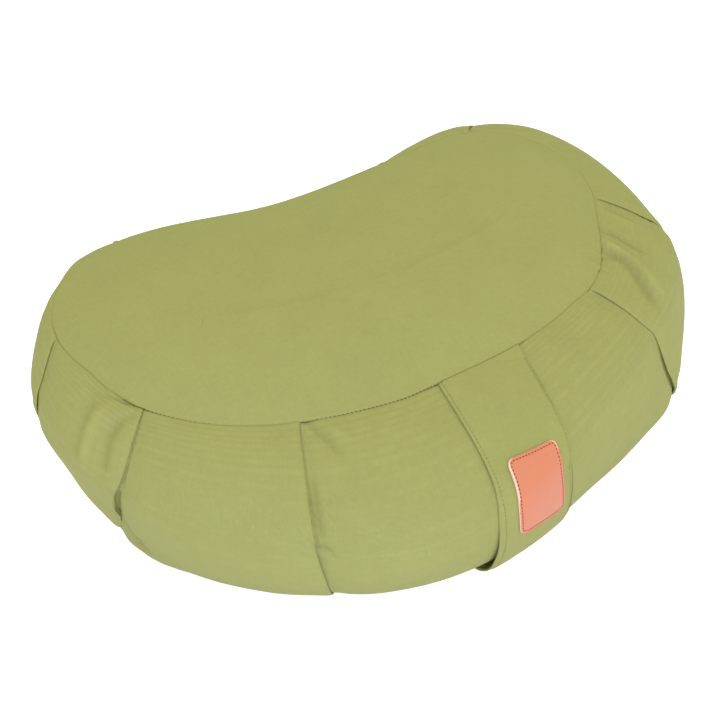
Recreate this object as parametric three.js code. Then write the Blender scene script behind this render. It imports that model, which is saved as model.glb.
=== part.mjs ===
import * as THREE from "three";

// Crescent meditation cushion: a pleated side band with its filling, a kidney-shaped panel above and another
// below, a carry strap sewn over the convex front, and a small patch on the strap.
// Millimetres, +Z up. X runs along the crescent, and its convex front faces -Y.
// A place on the side band is given as along, in millimetres along the top seam from the middle of the front
// towards +X, and down, which is 0 at the top seam, 1 at the band's widest line and 2 at the base seam.

// Heights and section of the filled form
const SEAM_HEIGHT = 120;
const BASE_SEAM_HEIGHT = 5;
const WIDEST_HEIGHT = 83;
const CROWN = 15;
const CROWN_FULLNESS = 0.8;
const SECTION_ROUNDNESS = 1.7; // 2 makes the band's section an ellipse
const BASE_OUTSET = 16;

// The filling has slid: the base seam is shifted, and the top seam is uneven
const BASE_SHIFT = { x: 23, y: -24 };
const SEAM_DROP = { reach: 150, mm: 5 };
const SEAM_TILT = { reachX: 150, x: -9, reachY: 80, y: 5 };

// Top seam seen from above, anticlockwise from the middle of the front: control points of a smooth closed
// line, and how far the band bulges out beside each of them
const OUTLINE = [
  // x, y, bulge
  [7, -100, 68],
  [64, -93, 45],
  [134, -75, 32],
  [173, -17, 53],
  [201, 42, 18],
  [171, 108, 42],
  [110, 107, 25],
  [-1, 82, 8],
  [-110, 112, 20],
  [-162, 103, 23],
  [-204, 42, 31],
  [-182, -31, 39],
  [-127, -78, 64],
  [-66, -100, 80],
];

// Between pleats the cloth draws the top seam straighter: how far it moves out from the smooth line
const SEAM_PULL = [
  { along: -400, out: 0 },
  { along: -345, out: 3 },
  { along: -322, out: 5.5 },
  { along: -300, out: 5 },
  { along: -284, out: 2.5 },
  { along: -250, out: -4.5 },
  { along: -225, out: -2.5 },
  { along: -200, out: -1 },
  { along: -160, out: -1 },
  { along: -106, out: -3.5 },
  { along: -70, out: -3.5 },
  { along: -38, out: -2 },
  { along: -10, out: -4 },
  { along: 50, out: -4.5 },
  { along: 110, out: -7 },
  { along: 130, out: -4 },
  { along: 160, out: -2 },
  { along: 210, out: -3 },
  { along: 228, out: -0.5 },
  { along: 285, out: 0.5 },
  { along: 330, out: -2 },
  { along: 360, out: 0 },
];
const PULL_FADE = 0.6; // how far down the band the seam's pull reaches

// Middle line that the top panel's crown rises to
const SPINE = { reach: 115, middleY: -7, endY: 13 };

// Knife pleats: where each line meets the top seam, the widest line and the base seam. An edge that faces +1
// looks towards +along, and gape opens the fold at one height. Spacing is between the mesh's columns after it.
const PLEATS = [
  { top: -286, middle: -271, foot: -298, faces: 1, gape: 0, gapeDown: 1, spacing: 8 },
  { top: -202, middle: -212, foot: -266, faces: 1, gape: 1.6, gapeDown: 0.9, spacing: 8 },
  { top: -106, middle: -114, foot: -121, faces: 1, gape: 2.2, gapeDown: 1.15, spacing: 8 },
  { top: 130, middle: 128, foot: 149, faces: -1, gape: 0.8, gapeDown: 1.4, spacing: 8 },
  { top: 229, middle: 211, foot: 205, faces: -1, gape: 0, gapeDown: 1, spacing: 10 },
  { top: 346, middle: 330, foot: 320, faces: -1, gape: 0, gapeDown: 1, spacing: 10 },
  { top: 418, middle: 416, foot: 414, faces: -1, gape: 0, gapeDown: 1, spacing: 10 },
  { top: 520, middle: 522, foot: 522, faces: 1, gape: 0, gapeDown: 1, spacing: 10 },
  { top: 618, middle: 622, foot: 626, faces: 1, gape: 0, gapeDown: 1, spacing: 10 },
];

// Section across a pleat, in the direction that its edge faces. The folded edge stands over the next panel,
// and the rows with a tuck run back under it to make the slot between the layers.
const PLEAT_SECTION = [
  { across: -12, lift: 0, tuck: 0 },
  { across: -5, lift: 0.6, tuck: 0 },
  { across: -1.5, lift: 0.9, tuck: 0 },
  { across: 0, lift: 0.3, tuck: 0 },
  { across: 0.25, lift: -0.2, tuck: -1 },
  { across: 0.5, lift: -0.2, tuck: -5 },
  { across: 0.75, lift: -0.75, tuck: -5.2 },
  { across: 1.2, lift: -0.9, tuck: 0 },
  { across: 4, lift: -0.7, tuck: 0 },
  { across: 8, lift: -0.3, tuck: 0 },
  { across: 14, lift: 0, tuck: 0 },
];
const SECTION_START = -12;
const SECTION_END = 14;
const SLOT = { from: 0.6, to: 10, reach: 0.2 }; // where a gape opens, across the pleat and down it
const TUCK_FADE = { in: [0.02, 0.2], out: [1.7, 1.95] };
const LIFT_FADE = { top: 0.5, in: [0, 0.15], out: [1.75, 2] };
const PANEL_PUFF = { mm: 5, fullness: 0.6, balance: 0.55, falloff: 0.7 };

// Soft folds in the band, from one place to another: negative heights are hollows
const SOFT_FOLDS = [
  { along: -220, down: 0.1, toAlong: -219, toDown: 0.9, width: 8, height: 1.4 },
  { along: -232, down: 0.06, toAlong: -229, toDown: 0.7, width: 7, height: -1 },
  { along: -103, down: 0.5, toAlong: -105, toDown: 1.2, width: 10, height: -1.8 },
  { along: -97, down: 0.12, toAlong: -76, toDown: 0.4, width: 9, height: -0.8 },
  { along: 174, down: 0.1, toAlong: 144, toDown: 0.72, width: 8, height: 2 },
  { along: 166, down: 0.08, toAlong: 138, toDown: 0.68, width: 9, height: -2.6 },
  { along: 192, down: 0.05, toAlong: 175, toDown: 0.38, width: 8, height: -1.4 },
  { along: 216, down: 0.2, toAlong: 208, toDown: 0.6, width: 8, height: -1.2 },
  { along: 206, down: 0.85, toAlong: 198, toDown: 1.05, width: 16, height: 2.5 },
  { along: -279, down: 0.7, toAlong: -266, toDown: 1, width: 13, height: 4.5 },
  { along: -234, down: 1.15, toAlong: -232, toDown: 1.5, width: 15, height: -2 },
  { along: -212, down: 1.6, toAlong: -234, toDown: 1.74, width: 13, height: 4.5 },
  { along: 142, down: 1.56, toAlong: 132, toDown: 1.74, width: 14, height: 5 },
  { along: -328, down: 0, toAlong: -331, toDown: 0.6, width: 12, height: -3.5 },
  { along: -229, down: 1.4, toAlong: -212, toDown: 1.5, width: 5, height: -1.5 },
];
const DOWN_SCALE = 88; // millimetres that one unit of down covers, on average

// Cloth panels: each lies in a shallow recess of the filled body
const CLOTH = 1.5;
const GAP = 0.3;
const PANEL_INSET = 0.5;
const PANEL_EDGE_ROUND = 0.7;
const BASE_CURL = 25; // width of the base panel's edge that turns up to its seam

// Carry strap, of doubled cloth: its middle line's places, and how far its lower half stands off at each side
const STRAP = { top: 19, middle: -2, foot: -14, width: 64, thickness: 1.8, start: 0.015, end: 1.95 };
const STRAP_NEST = { depth: 1.4, margin: 11, fadeFrom: 0.3, fadeTo: 0.9 };
const STRAP_LOOSE = { left: 3.2, right: 0.8, from: 0.9, full: 1.5, closing: 1.7, closed: 1.93 };

// Patch on the strap: where its middle is, its size and corner radius, and how its rows slope to lie square
// to the slanting strap
const PATCH = { across: 0, down: 1.04, width: 40, height: 52, corner: 5, slope: 0.2, thickness: 1.4 };

// Mesh rows down the band, rings in the crown, and columns round the panels
const BAND_ROWS = [0, 0.04, 0.1, 0.18, 0.28, 0.4, 0.53, 0.66, 0.8, 0.94, 1.08, 1.22, 1.36, 1.49, 1.61, 1.72,
  1.82, 1.91, 2];
const CROWN_RINGS = [0.94, 0.78, 0.55, 0.3, 0.08];
const PANEL_RINGS = [0.985, 0.96, 0.92, 0.85, 0.74, 0.6, 0.44, 0.27, 0.08];
const BASE_RIM_INSET = 1.2;
const BASE_INSETS = [6, 14, 25];
const UNDERSIDE_COLUMNS = 60;
const PANEL_COLUMNS = 120;
const BASE_COLUMNS = 72;
const STRAP_ROWS = 44;
const STRAP_COLUMNS = 8;
const PATCH_ROWS = 8;
const PATCH_COLUMNS = 6;
const CORNER_DEGREES = [0, 25, 50, 72, 90];
const LENGTH_STEPS = 200;

const COTTON_GREEN = 0xa7a861;
const LEATHER_CORAL = 0xe5966f;

function smooth(from, to, value) {
  return THREE.MathUtils.smoothstep(value, from, to);
}

function closedSpline(column, t) {
  const count = OUTLINE.length;
  const start = Math.floor(t * count);
  const w = t * count - start;
  const weights = [(1 - w) ** 3, 3 * w ** 3 - 6 * w ** 2 + 4, -3 * w ** 3 + 3 * w ** 2 + 3 * w + 1, w ** 3];
  return weights.reduce((sum, weight, i) => {
    const row = OUTLINE[(start + i - 1 + 2 * count) % count];
    return sum + (weight / 6) * row[column];
  }, 0);
}

class SeamLine extends THREE.Curve {
  getPoint(t, target = new THREE.Vector3()) {
    return target.set(closedSpline(0, t), closedSpline(1, t), 0);
  }
}

const seamLine = new SeamLine();
seamLine.arcLengthDivisions = 1200;
const SEAM_LENGTH = seamLine.getLength();

// How far the seam is pulled out at a place, between the rows before and after it
function pullAt(along) {
  const place = SEAM_PULL[0].along + THREE.MathUtils.euclideanModulo(along - SEAM_PULL[0].along, SEAM_LENGTH);
  const rows = [...SEAM_PULL, { ...SEAM_PULL[0], along: SEAM_PULL[0].along + SEAM_LENGTH }];
  const next = rows.findIndex((row) => row.along > place);
  const [before, after] = [rows[next - 1], rows[next]];
  const share = (place - before.along) / (after.along - before.along);
  return THREE.MathUtils.lerp(before.out, after.out, share);
}

// Point of the top seam, the level direction out of the cushion there, the band's bulge, and the seam's pull
function seamAt(along) {
  const t = seamLine.getUtoTmapping(THREE.MathUtils.euclideanModulo(along / SEAM_LENGTH, 1));
  const tangent = seamLine.getTangent(t);
  const out = new THREE.Vector3(tangent.y, -tangent.x, 0);
  const pull = pullAt(along);
  const point = seamLine.getPoint(t).addScaledVector(out, pull);
  return { point, out, bulge: closedSpline(2, t), pull };
}

function seamHeight({ x, y }) {
  const drop = SEAM_DROP.mm * (x / SEAM_DROP.reach) ** 2;
  return SEAM_HEIGHT - drop + (SEAM_TILT.x * x) / SEAM_TILT.reachX + (SEAM_TILT.y * y) / SEAM_TILT.reachY;
}

// The smooth band without pleats or folds
function bandForm(along, down) {
  const { point, out, bulge, pull } = seamAt(along);
  const height = seamHeight(point);
  const angle = ((down <= 1 ? down : down - 1) * Math.PI) / 2;
  const sine = Math.sin(angle) ** (2 / SECTION_ROUNDNESS);
  const cosine = Math.max(Math.cos(angle), 0) ** (2 / SECTION_ROUNDNESS);
  const reach = down <= 1 ? bulge * sine : BASE_OUTSET + (bulge - BASE_OUTSET) * cosine;
  const upper = WIDEST_HEIGHT + (height - WIDEST_HEIGHT) * cosine;
  const lower = WIDEST_HEIGHT - (WIDEST_HEIGHT - BASE_SEAM_HEIGHT) * sine;
  const z = down <= 1 ? upper : lower;
  const slid = 1 - z / height;
  const shift = new THREE.Vector3(BASE_SHIFT.x * slid, BASE_SHIFT.y * slid, z);
  return point.addScaledVector(out, reach - pull * smooth(0, PULL_FADE, down)).add(shift);
}

function bandNormal(along, down) {
  const reach = 1;
  const step = 0.004;
  const downwards = bandForm(along, Math.min(down + step, 2)).sub(bandForm(along, Math.max(down - step, 0)));
  const sideways = bandForm(along + reach, down).sub(bandForm(along - reach, down));
  return downwards.cross(sideways).normalize();
}

// Quadratic line through its places at the top seam, the widest line and the base seam
function lineAt({ top, middle, foot }, down) {
  return (top * (1 - down) * (2 - down)) / 2 + middle * down * (2 - down) + (foot * down * (down - 1)) / 2;
}

function nearestTurn(along, reference) {
  return along - SEAM_LENGTH * Math.round((along - reference) / SEAM_LENGTH);
}

// Each panel between two pleats puffs out, and is drawn in at the pleats
function puffAt(along, down) {
  const start = lineAt(PLEATS[0], down);
  const place = start + THREE.MathUtils.euclideanModulo(along - start, SEAM_LENGTH);
  const lines = PLEATS.map((pleat) => lineAt(pleat, down)).concat(start + SEAM_LENGTH);
  const next = lines.findIndex((line) => line > place);
  const share = (place - lines[next - 1]) / (lines[next] - lines[next - 1]);
  const bow = Math.sin(Math.PI * share) ** PANEL_PUFF.fullness - PANEL_PUFF.balance;
  return PANEL_PUFF.mm * bow * Math.sin((Math.PI * Math.min(down, 2)) / 2) ** PANEL_PUFF.falloff;
}

function foldsAt(along, down) {
  return SOFT_FOLDS.reduce((sum, fold) => {
    const start = new THREE.Vector2(fold.along, fold.down * DOWN_SCALE);
    const run = new THREE.Vector2(fold.toAlong, fold.toDown * DOWN_SCALE).sub(start);
    const place = new THREE.Vector2(nearestTurn(along, fold.along), down * DOWN_SCALE).sub(start);
    const share = THREE.MathUtils.clamp(place.dot(run) / run.lengthSq(), 0, 1);
    const distance = place.addScaledVector(run, -share).length();
    return sum + fold.height * Math.exp(-((distance / fold.width) ** 2));
  }, 0);
}

// The band is sunk a little under the strap's upper half, where the strap is sewn in
function nestAt(along, down) {
  const aside = Math.abs(nearestTurn(along, 0) - lineAt(STRAP, down)) - STRAP.width / 2;
  const fade = 1 - smooth(STRAP_NEST.fadeFrom, STRAP_NEST.fadeTo, down);
  return -STRAP_NEST.depth * fade * (1 - smooth(0, STRAP_NEST.margin, aside));
}

function skin(along, down, lift = 0) {
  const height = puffAt(along, down) + foldsAt(along, down) + nestAt(along, down) + lift;
  return bandForm(along, down).addScaledVector(bandNormal(along, down), height);
}

// Columns of the band's mesh: those of each pleat's section, then even ones up to the next pleat
function bandColumns() {
  return PLEATS.flatMap((pleat, index) => {
    const next = index + 1 < PLEATS.length ? PLEATS[index + 1] : PLEATS[0];
    const turn = index + 1 < PLEATS.length ? 0 : SEAM_LENGTH;
    const section = PLEAT_SECTION.map((row) => ({ pleat, ...row, across: row.across * pleat.faces }));
    const last = pleat.faces > 0 ? SECTION_END : -SECTION_START;
    const first = next.faces > 0 ? SECTION_START : -SECTION_END;
    const count = Math.round((next.top + turn + first - pleat.top - last) / pleat.spacing);
    const between = Array.from({ length: count - 1 }, (_, i) => (down) => {
      const from = lineAt(pleat, down) + last;
      const to = lineAt(next, down) + turn + first;
      return { along: THREE.MathUtils.lerp(from, to, (i + 1) / count), lift: 0 };
    });
    const folded = (pleat.faces > 0 ? section : section.reverse()).map((row) => (down) => {
      const tuckShare = smooth(...TUCK_FADE.in, down) * (1 - smooth(...TUCK_FADE.out, down));
      const liftIn = LIFT_FADE.top + (1 - LIFT_FADE.top) * smooth(...LIFT_FADE.in, down);
      const liftShare = liftIn * (1 - smooth(...LIFT_FADE.out, down));
      const side = row.across * pleat.faces;
      const open = Math.exp(-(((down - pleat.gapeDown) / SLOT.reach) ** 2));
      const gape = side > SLOT.from && side < SLOT.to ? pleat.gape * open : 0;
      const along = lineAt(pleat, down) + row.across + row.tuck * pleat.faces * tuckShare;
      return { along, lift: (row.lift - gape) * liftShare };
    });
    return [...folded, ...between];
  });
}

// Crown of the top: inward is 1 at the seam and 0 on the middle line
function crownPoint(along, inward, drop) {
  const { point } = seamAt(along);
  const x = THREE.MathUtils.clamp(point.x, -SPINE.reach, SPINE.reach);
  const y = THREE.MathUtils.lerp(SPINE.middleY, SPINE.endY, (x / SPINE.reach) ** 2);
  const place = new THREE.Vector3(x, y, 0).lerp(point, inward);
  place.z = seamHeight(place) + CROWN * (1 - inward ** 2) ** CROWN_FULLNESS - drop;
  return place;
}

function crownRim(along, inset, drop) {
  const { point } = seamAt(along);
  const length = point.distanceTo(crownPoint(along, 0, 0).setZ(0));
  return crownPoint(along, 1 - inset / length, drop);
}

// Underside: flat on the floor, and turned up to the base seam along its edge
function basePoint(along, inset, lift) {
  const { out } = seamAt(along);
  const point = bandForm(along, 2).addScaledVector(out, -inset);
  const curl = Math.max(1 - inset / BASE_CURL, 0);
  return point.setZ(BASE_SEAM_HEIGHT * curl ** 2 + lift);
}

function evenRing(count, pointAt) {
  return Array.from({ length: count }, (_, i) => pointAt((SEAM_LENGTH * i) / count));
}

// A closed body built of rings, from the middle of its top down to the middle of its underside
class RingBody {
  constructor() {
    this.points = [];
    this.faces = [];
  }

  ring(points) {
    const start = this.points.length;
    this.points.push(...points);
    return points.map((_, i) => start + i);
  }

  face(...corners) {
    this.faces.push(corners);
  }

  // Joins two rings, which may have different counts
  bridge(upper, lower, places = [evenPlaces(upper), evenPlaces(lower)]) {
    let [i, j] = [0, 0];
    while (i < upper.length || j < lower.length) {
      const [a, b] = [upper[i % upper.length], lower[j % lower.length]];
      const takeLower = i === upper.length || (j < lower.length && places[1][j + 1] <= places[0][i + 1]);
      if (takeLower) {
        this.face(a, b, lower[(j + 1) % lower.length]);
        j += 1;
      } else {
        this.face(a, b, upper[(i + 1) % upper.length]);
        i += 1;
      }
    }
  }

  // Closes a ring with a flat or nearly flat lid
  lid(ring, up) {
    const outline = ring.map((i) => new THREE.Vector2(this.points[i].x, this.points[i].y));
    THREE.ShapeUtils.triangulateShape(outline, []).forEach(([a, b, c]) => {
      this.face(...(up ? [ring[a], ring[b], ring[c]] : [ring[a], ring[c], ring[b]]));
    });
  }

  geometry() {
    const geometry = new THREE.BufferGeometry();
    geometry.setAttribute("position", new THREE.Float32BufferAttribute(this.points.flatMap((p) => [...p]), 3));
    geometry.setIndex(this.faces.flat());
    geometry.computeVertexNormals();
    return geometry;
  }
}

function evenPlaces(ring) {
  return Array.from({ length: ring.length + 1 }, (_, i) => i / ring.length);
}

function bandPlaces(row) {
  return [...row.map(({ along }) => (along - row[0].along) / SEAM_LENGTH), 1];
}

// Side band and filling, with a recess for each panel
function makeFilledBand() {
  const body = new RingBody();
  const columns = bandColumns();
  const [topRow, footRow] = [0, 2].map((down) => columns.map((column) => column(down)));
  const [topPlaces, footPlaces] = [topRow, footRow].map(bandPlaces);
  const ringFrom = (row, count, pointAt) => body.ring(evenRing(count, (along) => pointAt(along + row[0].along)));

  const crown = CROWN_RINGS.map((inward) =>
    ringFrom(topRow, UNDERSIDE_COLUMNS, (along) => crownPoint(along, inward, CLOTH + GAP)));
  body.lid(crown.at(-1), true);
  crown.slice(1).forEach((ring, i) => body.bridge(ring, crown[i]));
  const recess = body.ring(topRow.map(({ along }) => crownPoint(along, 1, CLOTH + GAP)));
  body.bridge(crown[0], recess, [evenPlaces(crown[0]), topPlaces]);

  let above = recess;
  BAND_ROWS.forEach((down) => {
    const row = body.ring(columns.map((column) => skin(column(down).along, down, column(down).lift)));
    body.bridge(above, row, [topPlaces, topPlaces]);
    above = row;
  });

  const baseRecess = body.ring(footRow.map(({ along }) => basePoint(along, 0, CLOTH + GAP)));
  body.bridge(above, baseRecess, [topPlaces, topPlaces]);
  const base = BASE_INSETS.map((inset) =>
    ringFrom(footRow, BASE_COLUMNS, (along) => basePoint(along, inset, CLOTH + GAP)));
  body.bridge(baseRecess, base[0], [footPlaces, evenPlaces(base[0])]);
  base.slice(1).forEach((ring, i) => body.bridge(base[i], ring));
  body.lid(base.at(-1), false);
  return body.geometry();
}

function makeTopPanel() {
  const body = new RingBody();
  const start = bandColumns()[0](0).along;
  const ring = (count, pointAt) => body.ring(evenRing(count, (along) => pointAt(along + start)));
  const face = PANEL_RINGS.map((inward) => ring(PANEL_COLUMNS, (along) => crownPoint(along, inward, 0)));
  body.lid(face.at(-1), true);
  face.slice(1).forEach((inner, i) => body.bridge(inner, face[i]));
  const rim = ring(PANEL_COLUMNS, (along) => crownRim(along, PANEL_INSET, PANEL_EDGE_ROUND));
  body.bridge(face[0], rim);
  const underRim = ring(PANEL_COLUMNS, (along) => crownRim(along, PANEL_INSET, CLOTH));
  body.bridge(rim, underRim);
  const under = CROWN_RINGS.map((inward) =>
    ring(UNDERSIDE_COLUMNS, (along) => crownPoint(along, inward, CLOTH)));
  body.bridge(underRim, under[0]);
  under.slice(1).forEach((inner, i) => body.bridge(under[i], inner));
  body.lid(under.at(-1), false);
  return body.geometry();
}

function makeBasePanel() {
  const body = new RingBody();
  const start = bandColumns()[0](2).along;
  const insets = [BASE_RIM_INSET, ...BASE_INSETS];
  const rings = (lift) => insets.map((inset) =>
    body.ring(evenRing(BASE_COLUMNS, (along) => basePoint(along + start, inset, lift))));
  const upper = rings(CLOTH);
  const lower = rings(0);
  body.lid(upper.at(-1), true);
  upper.slice(1).forEach((inner, i) => body.bridge(inner, upper[i]));
  body.bridge(upper[0], lower[0]);
  lower.slice(1).forEach((inner, i) => body.bridge(lower[i], inner));
  body.lid(lower.at(-1), false);
  return body.geometry();
}

// The strap's surface over the band: across runs from its left edge, below 0, to its right edge
function strapPoint(across, down, lift) {
  const middle = lineAt(STRAP, down);
  const stretch = bandForm(middle + 1, down).distanceTo(bandForm(middle - 1, down)) / 2;
  const side = THREE.MathUtils.lerp(STRAP_LOOSE.left, STRAP_LOOSE.right, across / STRAP.width + 0.5);
  const hang = smooth(STRAP_LOOSE.from, STRAP_LOOSE.full, down);
  const loose = side * hang * (1 - smooth(STRAP_LOOSE.closing, STRAP_LOOSE.closed, down));
  return skin(middle + across / stretch, down, GAP + loose + lift);
}

// A bent slab of cloth or leather: rows and columns of points on its outer and inner faces
function makeSlab(rows, outerAt, innerAt) {
  const body = new RingBody();
  const outer = rows.map((row) => body.ring(row.map(outerAt)));
  const inner = rows.map((row) => body.ring(row.map(innerAt)));
  const [height, width] = [rows.length - 1, rows[0].length - 1];
  for (let i = 0; i < height; i += 1) {
    for (let j = 0; j < width; j += 1) {
      body.face(outer[i][j], outer[i + 1][j], outer[i + 1][j + 1]);
      body.face(outer[i][j], outer[i + 1][j + 1], outer[i][j + 1]);
      body.face(inner[i][j], inner[i + 1][j + 1], inner[i + 1][j]);
      body.face(inner[i][j], inner[i][j + 1], inner[i + 1][j + 1]);
    }
    [[0, 1], [width, -1]].forEach(([j, turn]) => {
      const edge = [outer[i][j], inner[i][j], inner[i + 1][j], outer[i + 1][j]];
      const [a, b, c, d] = turn > 0 ? edge : edge.reverse();
      body.face(a, b, c);
      body.face(a, c, d);
    });
  }
  for (let j = 0; j < width; j += 1) {
    [[0, 1], [height, -1]].forEach(([i, turn]) => {
      const edge = [outer[i][j], outer[i][j + 1], inner[i][j + 1], inner[i][j]];
      const [a, b, c, d] = turn > 0 ? edge : edge.reverse();
      body.face(a, b, c);
      body.face(a, c, d);
    });
  }
  return body.geometry();
}

function makeStrap() {
  const rows = Array.from({ length: STRAP_ROWS + 1 }, (_, i) => {
    const down = THREE.MathUtils.lerp(STRAP.start, STRAP.end, i / STRAP_ROWS);
    return Array.from({ length: STRAP_COLUMNS + 1 }, (_, j) => [(j / STRAP_COLUMNS - 0.5) * STRAP.width, down]);
  });
  const outerAt = ([across, down]) => strapPoint(across, down, STRAP.thickness);
  const innerAt = ([across, down]) => strapPoint(across, down, 0);
  return makeSlab(rows, outerAt, innerAt);
}

// Distances below the strap's top end, measured along its middle, at even steps of down
function strapLengths(steps) {
  const points = Array.from({ length: steps + 1 }, (_, i) => strapPoint(0, (2 * i) / steps, STRAP.thickness));
  let length = 0;
  return points.map((point, i) => {
    length += i > 0 ? point.distanceTo(points[i - 1]) : 0;
    return { down: (2 * i) / steps, length };
  });
}

function makePatch() {
  const { width, height, corner } = PATCH;
  const table = strapLengths(LENGTH_STEPS);
  const downBelow = (below) => {
    const next = table.findIndex(({ length }) => length > below);
    const share = (below - table[next - 1].length) / (table[next].length - table[next - 1].length);
    return THREE.MathUtils.lerp(table[next - 1].down, table[next].down, share);
  };
  const middle = table.find(({ down }) => down >= PATCH.down).length;
  const arc = CORNER_DEGREES.map((degrees) => corner * Math.sin(THREE.MathUtils.degToRad(degrees)));
  const straight = height / 2 - corner;
  const even = Array.from({ length: PATCH_ROWS }, (_, i) =>
    THREE.MathUtils.lerp(-straight, straight, (i + 1) / (PATCH_ROWS + 1)));
  const places = [...arc.map((y) => -straight - y).reverse(), ...even, ...arc.map((y) => straight + y)];
  const rows = places.map((y) => {
    const past = Math.max(Math.abs(y) - straight, 0);
    const half = width / 2 - corner + Math.sqrt(Math.max(corner ** 2 - past ** 2, 0));
    return Array.from({ length: PATCH_COLUMNS + 1 }, (_, j) => {
      const x = half * ((2 * j) / PATCH_COLUMNS - 1);
      return [PATCH.across + x, downBelow(middle + y + x * PATCH.slope)];
    });
  });
  const lift = STRAP.thickness + GAP;
  const outerAt = ([across, down]) => strapPoint(across, down, lift + PATCH.thickness);
  const innerAt = ([across, down]) => strapPoint(across, down, lift);
  return makeSlab(rows, outerAt, innerAt);
}

function makePiece(name, geometry, color, roughness) {
  const material = new THREE.MeshStandardMaterial({ color, roughness, metalness: 0 });
  const mesh = new THREE.Mesh(geometry, material);
  mesh.name = name;
  return mesh;
}

const cushion = new THREE.Group();
cushion.add(
  makePiece("filled_side_band", makeFilledBand(), COTTON_GREEN, 0.95),
  makePiece("top_panel", makeTopPanel(), COTTON_GREEN, 0.95),
  makePiece("base_panel", makeBasePanel(), COTTON_GREEN, 0.95),
  makePiece("carry_strap", makeStrap(), COTTON_GREEN, 0.95),
  makePiece("patch", makePatch(), LEATHER_CORAL, 0.5),
);

// The origin is the middle of the footprint, on the floor
const extent = new THREE.Box3().setFromObject(cushion);
const centre = extent.getCenter(new THREE.Vector3());
cushion.position.set(-centre.x, -centre.y, -extent.min.z);

export default cushion;
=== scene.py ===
"""Crescent meditation cushion: its cloth, leather and sewing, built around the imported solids."""

import math
from collections import namedtuple

import bmesh
import bpy
import numpy as np
from bpy.props import FloatProperty, FloatVectorProperty, PointerProperty
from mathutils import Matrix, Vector
from mathutils.bvhtree import BVHTree
from mathutils.kdtree import KDTree


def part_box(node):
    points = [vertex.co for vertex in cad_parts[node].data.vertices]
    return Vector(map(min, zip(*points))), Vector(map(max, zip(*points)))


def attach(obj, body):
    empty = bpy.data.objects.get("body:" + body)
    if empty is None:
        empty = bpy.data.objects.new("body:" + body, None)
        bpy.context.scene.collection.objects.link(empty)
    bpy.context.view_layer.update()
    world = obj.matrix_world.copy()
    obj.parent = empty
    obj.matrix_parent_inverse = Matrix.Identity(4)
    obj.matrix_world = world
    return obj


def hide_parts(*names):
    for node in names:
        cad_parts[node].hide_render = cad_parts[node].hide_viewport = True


bl_info = {
    "name": "Crescent cushion",
    "version": (1, 0, 0),
    "blender": (4, 5, 0),
    "location": "3D View > Sidebar > Cushion",
    "description": "Builds the cloth, leather and sewing of a crescent meditation cushion",
    "category": "Object",
}

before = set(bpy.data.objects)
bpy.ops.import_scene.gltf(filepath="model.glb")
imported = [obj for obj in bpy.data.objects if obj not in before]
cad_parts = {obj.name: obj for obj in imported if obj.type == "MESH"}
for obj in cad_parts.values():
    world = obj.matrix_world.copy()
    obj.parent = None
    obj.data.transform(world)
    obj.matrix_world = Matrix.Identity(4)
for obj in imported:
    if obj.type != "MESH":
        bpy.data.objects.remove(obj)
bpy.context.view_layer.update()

MM = 0.001
MERGE_DISTANCE = 2e-6
SHARP_ANGLE = math.radians(50)

# Top seam seen from above, anticlockwise from the middle of the front, in millimetres: control points of a
# smooth closed line, and how far the side band bulges out beside each of them
OUTLINE = np.array([
    (7, -100, 68), (64, -93, 45), (134, -75, 32), (173, -17, 53), (201, 42, 18), (171, 108, 42),
    (110, 107, 25), (-1, 82, 8), (-110, 112, 20), (-162, 103, 23), (-204, 42, 31), (-182, -31, 39),
    (-127, -78, 64), (-66, -100, 80),
], float)
# Height of the top seam over the middle, how far it sags to both ends and leans down to +X at this x, and how
# far it rises to the back at this y, all in millimetres
SEAM_HEIGHT = 120
SEAM_END = {"x": 150, "sag": 5, "lean": 9}
SEAM_BACK = {"y": 80, "rise": 5}
BASE_SEAM_HEIGHT = 5
WIDEST_HEIGHT = 83
SECTION_ROUNDNESS = 1.7
BASE_OUTSET = 16
BASE_SHIFT = (23, -24)

# How far the cloth draws the top seam out from that line: places along it and millimetres
SEAM_PULL = np.array([
    (-400, 0), (-345, 3), (-322, 5.5), (-300, 5), (-284, 2.5), (-250, -4.5), (-225, -2.5), (-200, -1),
    (-160, -1), (-106, -3.5), (-70, -3.5), (-38, -2), (-10, -4), (50, -4.5), (110, -7), (130, -4),
    (160, -2), (210, -3), (228, -0.5), (285, 0.5), (330, -2), (360, 0),
], float)
PULL_FADE = 0.6

# Length of cloth in metres from the top seam to the widest line, and about as much on to the base seam
BAND_DROP = 0.088

# Carry strap: its middle line at the top seam, the widest line and the base seam, and its width, in
# millimetres, and where it starts and ends down the band
STRAP = {"line": (19, -2, -14), "width": 64, "start": 0.015, "end": 1.95}
# How far in from its edges the strap rolls down to the band and hugs it, in millimetres, the share of the
# roll on its inner face, where down the band the hug comes and goes, and the height of its slow waves
STRAP_REACH = {"roll": 4, "hug": 12}
INNER_ROLL = 0.3
HUG_COMES = (0.75, 1.1)
HUG_GOES = (1.4, 1.6)
STRAP_SLACK = 0.3

# Patch: its middle down the band, how nearly a face's normal points straight out on its outer face, and how
# far a face of its edge leans to the pale side where the cut shows
PATCH_DOWN = 1.04
OUTER_FACE = 0.6
PALE_LEAN = 0.1

# Narrow ridges, and grooves where the height is below 0, by their distance from a line, in millimetres. A
# height of 1 is scaled where the ridge is used.
Ridge = namedtuple("Ridge", "at height width")
STRAP_GROOVE = Ridge(0, -0.2, 0.9)
STRAP_RIDGE = Ridge(1.5, 0.25, 1.0)
PATCH_GROOVE = Ridge(0, -0.3, 0.6)
PATCH_RIM = Ridge(0, -0.25, 0.9)
PANEL_RIDGE = Ridge(1.6, 1, 1.2)
# Across a pleat's folded edge: where the painted shade of the crease beside it lies, in the colour and not
# the form
PAINTED_SHADE_LINE = Ridge(0.4, 1, 0.6)

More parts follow.
